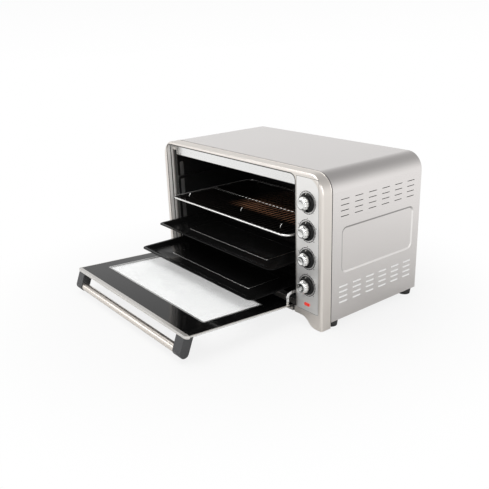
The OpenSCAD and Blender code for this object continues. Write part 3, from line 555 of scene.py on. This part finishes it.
# %% Turn the skirts and caps
SKIRT = (
    (3.2, 0.8), (20.6, 0.8), (21, 1.2), (21, 2.2), (20.5, 3), (17.4, 5.3), (16.4, 5.7), (3.2, 5.7),
)
CAP = (
    (13.6, 5.85, 0), (14.5, 6.5, 0.4), (14.5, 8, 1), (14.3, 12, 1), (13.9, 15, 1),
    (13.1, 17.2, 0.9), (11.8, 18.8, 0.6), (10.2, 19.6, 0.2), (8.8, 19.7, 0), (7.6, 19.2, 0),
    (4, 18.7, 0), (0.6, 18.6, 0),
)
KNOB_PARTS = (("skirt", SKIRT, "knob_black", "knob_black"), ("cap", CAP, "cap_chrome", "chrome"))
for number in KNOBS:
    axis = knob_axis(number)
    for part, profile, finish, slot in KNOB_PARTS:
        shape = bmesh.new()
        skin(shape, [turned(axis, *step) for step in profile], ring=part == "skirt")
        piece = make(f"knob_{part}_{number}_turned", shape, finish, f"knob_{number}")
        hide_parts(f"knob_{part}_{number}")

# %% [markdown]
# ## Printing on the panel
# The marks are printed ink. A texture would need an unwrapped panel, so they are modelled as
# very thin plates that stand on it: a close ring of dashes round a dial, plain numbers outside
# the ring, and a pointer on each skirt.

# %% Dashes and numbers
INK = 0.12
DASHES, DASH_R, DASH_END, DASH_W = 20, 23.2, 25.0, 6.5
NUMBER_H = 2.8


def plate(shape, corners, lift):
    """A thin plate between its corners and the same corners lifted."""
    skin(shape, [corners, [corner + lift for corner in corners]])


def dash_corners(x, z, turn):
    """The corners of one dash, at an angle from the top of a dial."""
    out = Vector((math.sin(turn), 0, math.cos(turn)))
    side = Vector((math.cos(turn), 0, -math.sin(turn)))
    half = DASH_W / 2
    ends = ((DASH_R, -half), (DASH_END, -half), (DASH_END, half), (DASH_R, half))
    return [at(x, 0, z) + (out * r + side * w) * MM for r, w in ends]


def number_mesh(text, spot):
    """A number as a thin mesh that faces the front."""
    ink = bpy.data.curves.new("number", "FONT")
    ink.body, ink.size, ink.extrude = text, NUMBER_H * MM, INK / 2 * MM
    ink.align_x, ink.align_y = "CENTER", "CENTER"
    holder = bpy.data.objects.new("number", ink)
    mesh = bpy.data.meshes.new_from_object(holder)
    mesh.transform(Matrix.Translation(spot) @ Matrix.Rotation(math.pi / 2, 4, "X"))
    bpy.data.objects.remove(holder)
    return mesh


print("a dash is", DASH_W, "mm long and", round(DASH_END - DASH_R, 1), "mm wide")

# %% Print the dials
DIALS = {1: "0 1 2 3", 2: "0 100 150 200 250", 3: "0 100 150 200 250", 4: "0 15 30 45 60"}
NUMBER_R, SWEEP = 27.6, 270
SAME_SPOT = 0.000001
# The pointer's corners: sideways, out from the panel and up from the shaft
POINTER = ((-0.6, 4.95, 17.8), (0.6, 4.95, 17.8), (0.6, 3.1, 20.3), (-0.6, 3.1, 20.3))
POINTER_LIFT = Vector((0, -0.15, 0.08)) * MM
for number in KNOBS:
    x, z = knob_axis(number)
    marks, pointer = bmesh.new(), bmesh.new()
    for step in range(DASHES):
        turn = 2 * math.pi * step / DASHES
        plate(marks, dash_corners(x, z, turn), Vector((0, -INK * MM, 0)))
    labels = DIALS[number].split()
    for step, label in enumerate(labels):
        turn = math.radians(SWEEP * step / (len(labels) - 1) - SWEEP / 2)
        spot = at(x + NUMBER_R * math.sin(turn), -INK / 2, z + NUMBER_R * math.cos(turn))
        marks.from_mesh(number_mesh(label, spot))
    bmesh.ops.remove_doubles(marks, verts=marks.verts, dist=SAME_SPOT)
    make(f"dial_marks_{number}", marks, "print_dark", "oven_body")
    plate(pointer, [at(x + side, -out, z + rise) for side, out, rise in POINTER], POINTER_LIFT)
    make(f"knob_pointer_{number}", pointer, "ceramic", f"knob_{number}")

# %% [markdown]
# ## Seams and gaskets
# The casing is slid under the bezel's rear edge, which is rolled into a bead. The shade in the gap
# behind it is painted as a dark strip. On the top the bead hides most of the gap, so the strip is
# wider there. A thin gasket runs round the door opening. Each is a small profile that is carried
# along an outline, because it has to follow the round upper corners exactly.

# %% Follow an outline
ARCH_STEPS = 12


def arch_path(left, right, foot, top, radius):
    """Points and outward directions along an arch, from its right foot to its left."""
    path = [((right, foot), (1, 0))]
    for quarter, centre in enumerate((right - radius, left + radius)):
        for k in range(ARCH_STEPS + 1):
            turn = math.radians(90 * (quarter + k / ARCH_STEPS))
            out = (math.cos(turn), math.sin(turn))
            path.append(((centre + radius * out[0], top - radius + radius * out[1]), out))
    return path + [((left, foot), (-1, 0))]


def trim(name, path, profile, finish):
    """A piece of the oven's body: a profile of lift and depth, carried along a path."""
    shape = bmesh.new()
    skin(shape, [
        [at(x + out_x * lift, y, z + out_z * lift) for lift, y in profile]
        for (x, z), (out_x, out_z) in path])
    make(name, shape, finish, "oven_body")


print("points along an arch", 2 * (ARCH_STEPS + 1) + 2)

# %% Close the seams
CASING_R, CASING_FOOT = 41, 15.3
FLANGE_LAP, OPENING_FOOT, OPENING_R = 4, 37, 14
BEAD = (
    (-0.5, 25.4), (0.15, 25.4), (0.5, 25.8), (0.6, 26.4), (0.5, 27), (0.15, 27.4), (-0.5, 27.4),
)
GAP_SHADOW = ((-0.5, 27.5), (0.08, 27.5), (0.08, 29.6), (-0.5, 29.6))
GAP_SHADOW_TOP = ((-0.5, 29.6), (0.08, 29.6), (0.08, 30.6), (-0.5, 30.6))
GASKET = ((0.1, -0.15), (2.2, -0.15), (2.2, 0.4), (0.1, 0.4))
low, high = span("casing")
casing_path = arch_path(low.x, high.x, CASING_FOOT, high.z, CASING_R)
top_path = [(spot, out) for spot, out in casing_path if math.isclose(out[1], 1)]
low, high = span("front_flange")
OPEN_X0, OPEN_X1 = low.x + FLANGE_LAP, high.x - FLANGE_LAP
open_path = arch_path(OPEN_X0, OPEN_X1, OPENING_FOOT, high.z - FLANGE_LAP, OPENING_R)
trim("bezel_bead", casing_path, BEAD, "satin_bezel")
# Painted shadow: dark strips stand in for the shade in the gap behind the bead.
trim("gap_shadow", casing_path, GAP_SHADOW, "print_dark")
trim("gap_shadow_top", top_path, GAP_SHADOW_TOP, "print_dark")
trim("opening_gasket", open_path, GASKET, "print_dark")

# %% [markdown]
# ## Inside the opening
# The bezel's wall round the opening is lined in light grey, in two bands with a dark groove
# between them. The bands follow the opening as the gasket does.

# %% Line the opening
LINER = ((0.2, 1.2), (-0.5, 1.2), (-0.5, 9.5), (0.2, 9.5))
GROOVE = ((0.2, 9.5), (-0.2, 9.5), (-0.2, 12.5), (0.2, 12.5))
LINER_REAR = ((0.2, 12.5), (-0.5, 12.5), (-0.5, 17.5), (0.2, 17.5))
trim("opening_liner", open_path, LINER, "lip_grey")
trim("opening_groove", open_path, GROOVE, "black_rubber")
trim("opening_liner_rear", open_path, LINER_REAR, "lip_grey")

# %% [markdown]
# Behind the lining a black seal lies on the foot and on each upright of the flange, where the
# door's edges close on it. Just inside the cavity a post on each wall carries the shelf guides.
# All are flat plates with rounded corners, made of two loops.

# %% Seal the flange and stand the posts
SEAL_W, SEAL_EDGE, SEAL_Y, SEAL_Z, SEAL_R = 11, 0.5, (21.5, 22.1), (82, 318), 3
FOOT_SEAL_X, FOOT_SEAL_Z = 15, (38, 47.5)
POST_T, POST_SINK, POST_Y, POST_Z, POST_R = 0.5, 0.1, (30, 41), (58, 285), 3


def flange_seal(name, x_reach, z_reach):
    """A flat black strip on the flange."""
    low, high = zip(x_reach, z_reach)
    seal = bmesh.new()
    skin(seal, [rounded_loop(low, high, SEAL_R, lambda x, z: at(x, y, z)) for y in SEAL_Y])
    make(name, seal, "black_rubber", "oven_body")


def guide_post(name, x_reach):
    """A flat upright on a wall of the cavity."""
    low, high = zip(POST_Y, POST_Z)
    post = bmesh.new()
    skin(post, [rounded_loop(low, high, POST_R, lambda y, z: at(x, y, z)) for x in x_reach])
    make(name, post, "window_grey", "oven_body")


flange_seal("flange_seal_foot", (OPEN_X0 + FOOT_SEAL_X, OPEN_X1 - FOOT_SEAL_X), FOOT_SEAL_Z)
for side, edge, inward in (("left", OPEN_X0, 1), ("right", OPEN_X1, -1)):
    reach = sorted((edge + inward * SEAL_EDGE, edge + inward * SEAL_W))
    flange_seal(f"flange_seal_{side}", reach, SEAL_Z)
    wall = span(f"cavity_{side}_wall")[side == "left"].x
    guide_post(f"guide_post_{side}", (wall - inward * POST_SINK, wall + inward * POST_T))

# %% [markdown]
# ## Rack stops
# Three short wires stand on the rack's bars near its front and keep a dish from sliding off. A
# wire is a round section carried along a bent line. Each stands on a bar, whose place follows
# from the row of bars.

# %% Bend the rack stops
BAR_COUNT, STOP_R, STOP_SIDES = 32, 0.8, 10
# Each stop's bar, counted from 0 at the left, and its distance from the front plane
STOPS = ((2, 19), (17, 33), (29, 16))
# How far a stop leans back at each height over its bar
STOP_BEND = ((0, 0), (0, 2.5), (0.6, 5), (2.2, 7.4), (4.4, 9))
ROUND = [2 * math.pi * k / STOP_SIDES for k in range(STOP_SIDES)]
low, high = span("rack_bars")
bar_r = (high.z - low.z) / 2
stops = bmesh.new()
for bar, y in STOPS:
    x = low.x + bar_r + (high.x - low.x - 2 * bar_r) * bar / (BAR_COUNT - 1)
    skin(stops, [
        [at(x + STOP_R * math.cos(turn), y + lean + STOP_R * math.sin(turn), low.z + bar_r + rise)
         for turn in ROUND]
        for lean, rise in STOP_BEND])
make("rack_stops", stops, "rack_wire", "rack")

# %% [markdown]
# ## Panel edge
# The control panel lies in a shallow recess, so a thin shadow line frames it. A ring of four
# loops gives the line a real thickness.

# %% Frame the panel
LINE_R, LINE_W, LINE_SINK, LINE_OUT = 2, 0.6, 0.3, 0.05
LINE_SECTION = ((0, LINE_SINK), (LINE_W, LINE_SINK), (LINE_W, -LINE_OUT), (0, -LINE_OUT))
low, high = span("control_panel")
frame_line = bmesh.new()
skin(frame_line, [
    rounded_loop((low.x - grow, low.z - grow), (high.x + grow, high.z + grow), LINE_R + grow,
                 lambda x, z: at(x, y, z))
    for grow, y in LINE_SECTION], ring=True)
make("panel_line", frame_line, "print_dark", "oven_body")

# %% [markdown]
# ## Louvres
# The slots low in each side carry a pressed lip that keeps drips out. Each lip leans out from
# the sheet, is open underneath and fades into the sheet at both ends. It is a loft of one small
# profile whose depth grows and falls along the slot.

# %% Press the louvre lips
# The first slot and the pitch, along the side and upwards
VENT_Y, VENT_Z = (66, 43), (55, 12.2)
VENT_COLUMNS, VENT_ROWS, LIP_LEN = 6, 4, 27
LIP = ((-0.4, 2.0), (0.02, 2.0), (1.35, -0.75), (1.45, -1.1), (0.9, -1.1), (-0.4, 1.2))
LIP_GROWTH = (
    (0, 0.1), (0.02, 0.4), (0.06, 0.75), (0.12, 1), (0.88, 1), (0.94, 0.75), (0.98, 0.4), (1, 0.1),
)


def louvre(shape, face, y_mid, z_mid):
    """A lip on one side of the casing. The face is the side's X, with its sign."""
    out = math.copysign(1, face)
    skin(shape, [
        [at(face + out * o * growth, y_mid + (part - 0.5) * LIP_LEN, z_mid + dz) for o, dz in LIP]
        for part, growth in LIP_GROWTH])


low, high = span("casing")
SIDES = (("left", low.x), ("right", high.x))
for side, face in SIDES:
    lips = bmesh.new()
    for column in range(VENT_COLUMNS):
        for row in range(VENT_ROWS):
            louvre(lips, face, VENT_Y[0] + column * VENT_Y[1], VENT_Z[0] + row * VENT_Z[1])
    make(f"louvres_{side}", lips, "bright_sheet", "oven_body")

# %% [markdown]
# ## Pressed panel
# A press does not leave a square step in a sheet: the metal runs down into the panel in a soft
# curve. A ring with that curve lies in the step, and its upper and lower stretch catch
# different light, which draws the panel's outline. The step is so shallow that the light alone
# draws it faintly, so shade is painted into its finish above and in front, and a highlight behind.

# %% Paint light and shade on the step's steel
PRESS_Y, PRESS_Z, PRESS_R, STEP_RUN = (58, 296), (121, 226), 15, 4.2
SHADE_EVEN, SHADE_UPPER, SHADE_FRONT, SHADE_REAR, SHADE_GRAIN = 0.32, 0.65, 0.37, -0.22, 0.06
STEP_LIT, STEP_SHADED = (1.0, 0.975, 0.955), (0.42, 0.405, 0.395)
pressed = brushed("pressed_steel", (0.77, 0.74, 0.725), 0.25, ALONG_Y, 0.00001, 0.03)
inwards = pressed.along("Y")
upper_run = [(PRESS_Z[1] - run) * MM for run in (PRESS_R, STEP_RUN)]
front_run = [(FRONT + PRESS_Y[0] + run) * MM for run in (STEP_RUN, PRESS_R)]
rear_run = [(FRONT + PRESS_Y[1] - run) * MM for run in (PRESS_R, STEP_RUN)]
# Painted shade above and in front and a painted highlight behind, by ramps over the step.
step_shade = pressed.noise(ALONG_Y, STREAK_DETAIL) * SHADE_GRAIN + SHADE_EVEN
step_shade = step_shade + pressed.ramp(pressed.along("Z"), *upper_run, 0.0, SHADE_UPPER)
step_shade = step_shade + pressed.ramp(inwards, *front_run, SHADE_FRONT, 0.0)
step_shade = step_shade + pressed.ramp(inwards, *rear_run, 0.0, SHADE_REAR)
pressed.set(Base_Color=pressed.mix(step_shade, STEP_LIT, STEP_SHADED))
print("step toned over", STEP_RUN, "mm")

# %% Round the step of the pressed panels
STEP_CURVE = (
    (0, 0), (-0.4, 0.06), (-0.9, 0.24), (-3.3, 1.25), (-3.8, 1.43), (-STEP_RUN, 1.49),
    (-STEP_RUN, 1.7), (0, 1.7),
)
for side, face in SIDES:
    inward = -math.copysign(1, face)
    step = bmesh.new()
    skin(step, [
        rounded_loop((PRESS_Y[0] - grow, PRESS_Z[0] - grow), (PRESS_Y[1] + grow, PRESS_Z[1] + grow),
                     PRESS_R + grow, lambda y, z: at(face + inward * deep, y, z))
        for grow, deep in STEP_CURVE], ring=True)
    make(f"press_step_{side}", step, "pressed_steel", "oven_body")

# %% [markdown]
# ## Door strips
# A bright angle strip closes each long edge of the door between the hinge channel and the trim.
# The door is drawn open, so the strip is measured along the door from the hinge axis, which
# the record gives, and then turned with it.

# %% Bend the door strips
hinge = next(j for j in frame["record"]["behaviour"]["joints"] if j["name"] == "door_hinge")
AXIS, OPEN = Vector(hinge["pos_m"]), math.radians(hinge["range_deg"][1])
STRIP = ((0, 11.4), (0, 14.35), (-2.4, 14.35), (-2.4, 14.05), (-0.7, 14.05), (-0.7, 11.4))
STRIP_ENDS = (24, 287)


def on_door(x, y, z):
    """A place on the open door: y towards its inner face, z from the hinge to its free end."""
    turned_y = y * math.cos(OPEN) - z * math.sin(OPEN)
    turned_z = y * math.sin(OPEN) + z * math.cos(OPEN)
    return AXIS + Vector((x, turned_y, turned_z)) * MM


low, high = span("edge_trim")
for side, edge, out in (("left", low.x, -1), ("right", high.x, 1)):
    strip = bmesh.new()
    skin(strip, [[on_door(edge + out * x, y, z) for x, y in STRIP] for z in STRIP_ENDS])
    make(f"door_strip_{side}", strip, "bright_trim", "door")

# %% [markdown]
# ## Studio
# The oven stands on a white sheet in soft light. The sky could be one even white, but then the
# round edges of the casing would not show, so it is dimmer overhead than at the horizon. What
# the camera and gloss see of it is kept apart from the even light that falls on the oven.

# %% Sky
SKY_FILL = 0.62
SKY_HIGH, SKY_DIM = (-0.08, 0.85), 0.34
world = bpy.data.worlds.new("studio")
bpy.context.scene.world = world
world.use_nodes = True
sky = Board(world.node_tree)
toward = sky.node("TexCoord", {}, {}, "Generated")
height = sky.node("SeparateXYZ", {}, {0: toward}, "Z")
fall = sky.ramp(height, *SKY_HIGH, 1.0, SKY_DIM)
strength = sky.seen() * (fall - SKY_FILL) + SKY_FILL
background = world.node_tree.nodes["Background"]
connect(world.node_tree, background.inputs["Strength"], strength)
connect(world.node_tree, background.inputs["Color"], (1.0, 1.0, 1.0))
print("sky falls from 1 to", SKY_DIM)

# %% [markdown]
# The floor is white paper. To the camera it glows white further out and keeps the oven's shadow
# near by. Gloss sees it darker close to the oven, which draws the lower parts of the steel.

# %% Floor
FLOOR_HALF = 12.0
SHADOW_REACH, SHADOW_SHARE = (0.35, 0.75), 0.84
MIRROR_REACH, MIRROR_SHARE = (0.42, 1.5), 0.05
floor_mesh = bpy.data.meshes.new("floor")
corners = [(x * FLOOR_HALF, y * FLOOR_HALF, 0) for x, y in ((-1, -1), (1, -1), (1, 1), (-1, 1))]
floor_mesh.from_pydata(corners, [], [(0, 1, 2, 3)])
floor = bpy.data.objects.new("floor", floor_mesh)
bpy.context.scene.collection.objects.link(floor)
paper = Finish(
    "floor_paper", Base_Color=(0.60, 0.60, 0.595), Roughness=0.45, Specular_IOR_Level=0.35)
glow = paper.node("Emission", {}, {"Color": (1.0, 1.0, 1.0), "Strength": 1.0})
far = paper.node("VectorMath", {"operation": "LENGTH"}, {0: paper.spot()}, "Value")
mirrored = paper.node("LightPath", {}, {}, "Is Glossy Ray")
by_eye = paper.ramp(far, *SHADOW_REACH, SHADOW_SHARE, 1.0)
by_gloss = paper.ramp(far, *MIRROR_REACH, MIRROR_SHARE, 1.0)
share = (by_eye + mirrored * (by_gloss - by_eye)) * paper.seen()
lit = Value(paper.tree, paper.shader.outputs[0])
blend = paper.node("MixShader", {}, {0: share, 1: lit, 2: glow})
connect(paper.tree, paper.tree.nodes["Material Output"].inputs["Surface"], blend)
floor_mesh.materials.append(paper.material)
print("floor half width", FLOOR_HALF, "m")

# %% [markdown]
# A wide lamp hangs overhead, a weaker one fills the right side, and two faint ones lift the left
# and the front. Point lamps would throw hard shadows, so all four are soft boxes. Their level is
# kept low and the view is the plain one, so that colours come out about as they are written.


# %% Lamps
def softbox(name, spot, target, size, watts):
    """A rectangular lamp that faces its target."""
    light = bpy.data.lights.new(name, "AREA")
    light.shape = "RECTANGLE"
    light.size, light.size_y = size
    light.energy = watts
    box = bpy.data.objects.new(name, light)
    box.location = spot
    box.rotation_euler = (Vector(target) - Vector(spot)).to_track_quat("-Z", "Y").to_euler()
    bpy.context.scene.collection.objects.link(box)
    print("hung", name, watts, "W")


softbox("lamp_top", (-0.5, -0.5, 2.4), (0, -0.05, 0.1), (2.2, 2.2), 42)
softbox("lamp_right", (2.6, -0.6, 1.1), (0.2, 0, 0.15), (1.4, 1.4), 20)
softbox("lamp_left", (-1.9, -1.6, 0.9), (0.25, 0, 0.25), (0.7, 0.6), 3)
softbox("lamp_front", (0.4, -2.8, 1.3), (0, 0, 0.15), (1.6, 1.2), 8)
bpy.context.scene.view_settings.view_transform = "Standard"
